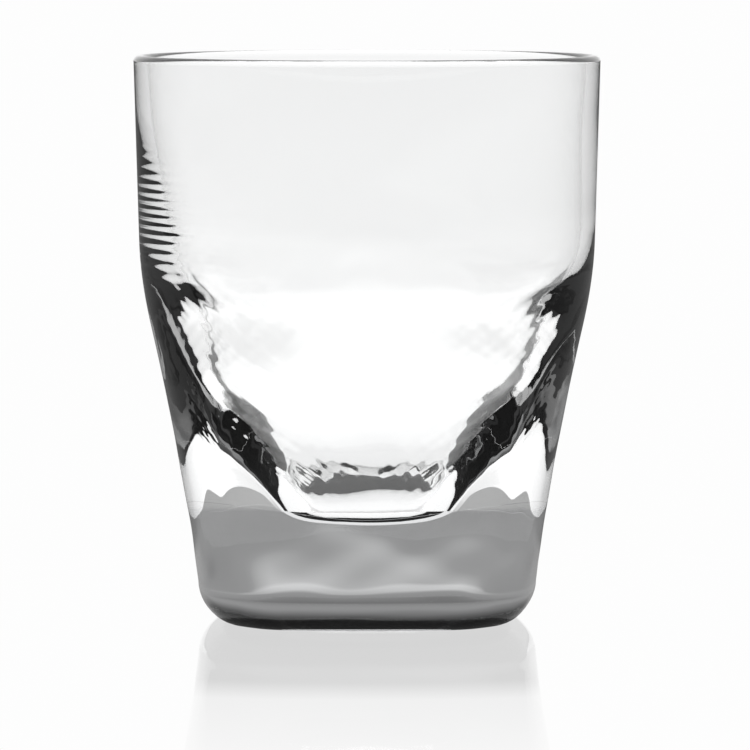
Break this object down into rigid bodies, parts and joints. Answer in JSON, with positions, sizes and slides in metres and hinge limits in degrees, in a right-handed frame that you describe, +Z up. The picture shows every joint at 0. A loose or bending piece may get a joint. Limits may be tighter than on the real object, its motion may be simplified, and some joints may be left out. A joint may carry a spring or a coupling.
{
  "type": "whiskey tumbler",
  "caption": "Heavy-based drinking tumbler with a clear glass bowl and arched flats over a solid smoke-grey glass foot.",
  "frame": {"origin": "on the vertical axis, at the level of the ring that the glass stands on", "axes": "+Z up along the axis towards the rim, +X and +Y each through the middle of a flat"},
  "size_m": [0.083, 0.083, 0.1],
  "materials": {
    "clear_glass": "polished, slightly wavy",
    "smoke_glass": "polished smoke-grey tint"
  },
  "bodies": {
    "root": {"clear_body": "clear_glass", "smoke_base": "smoke_glass"}
  },
  "joints": []
}
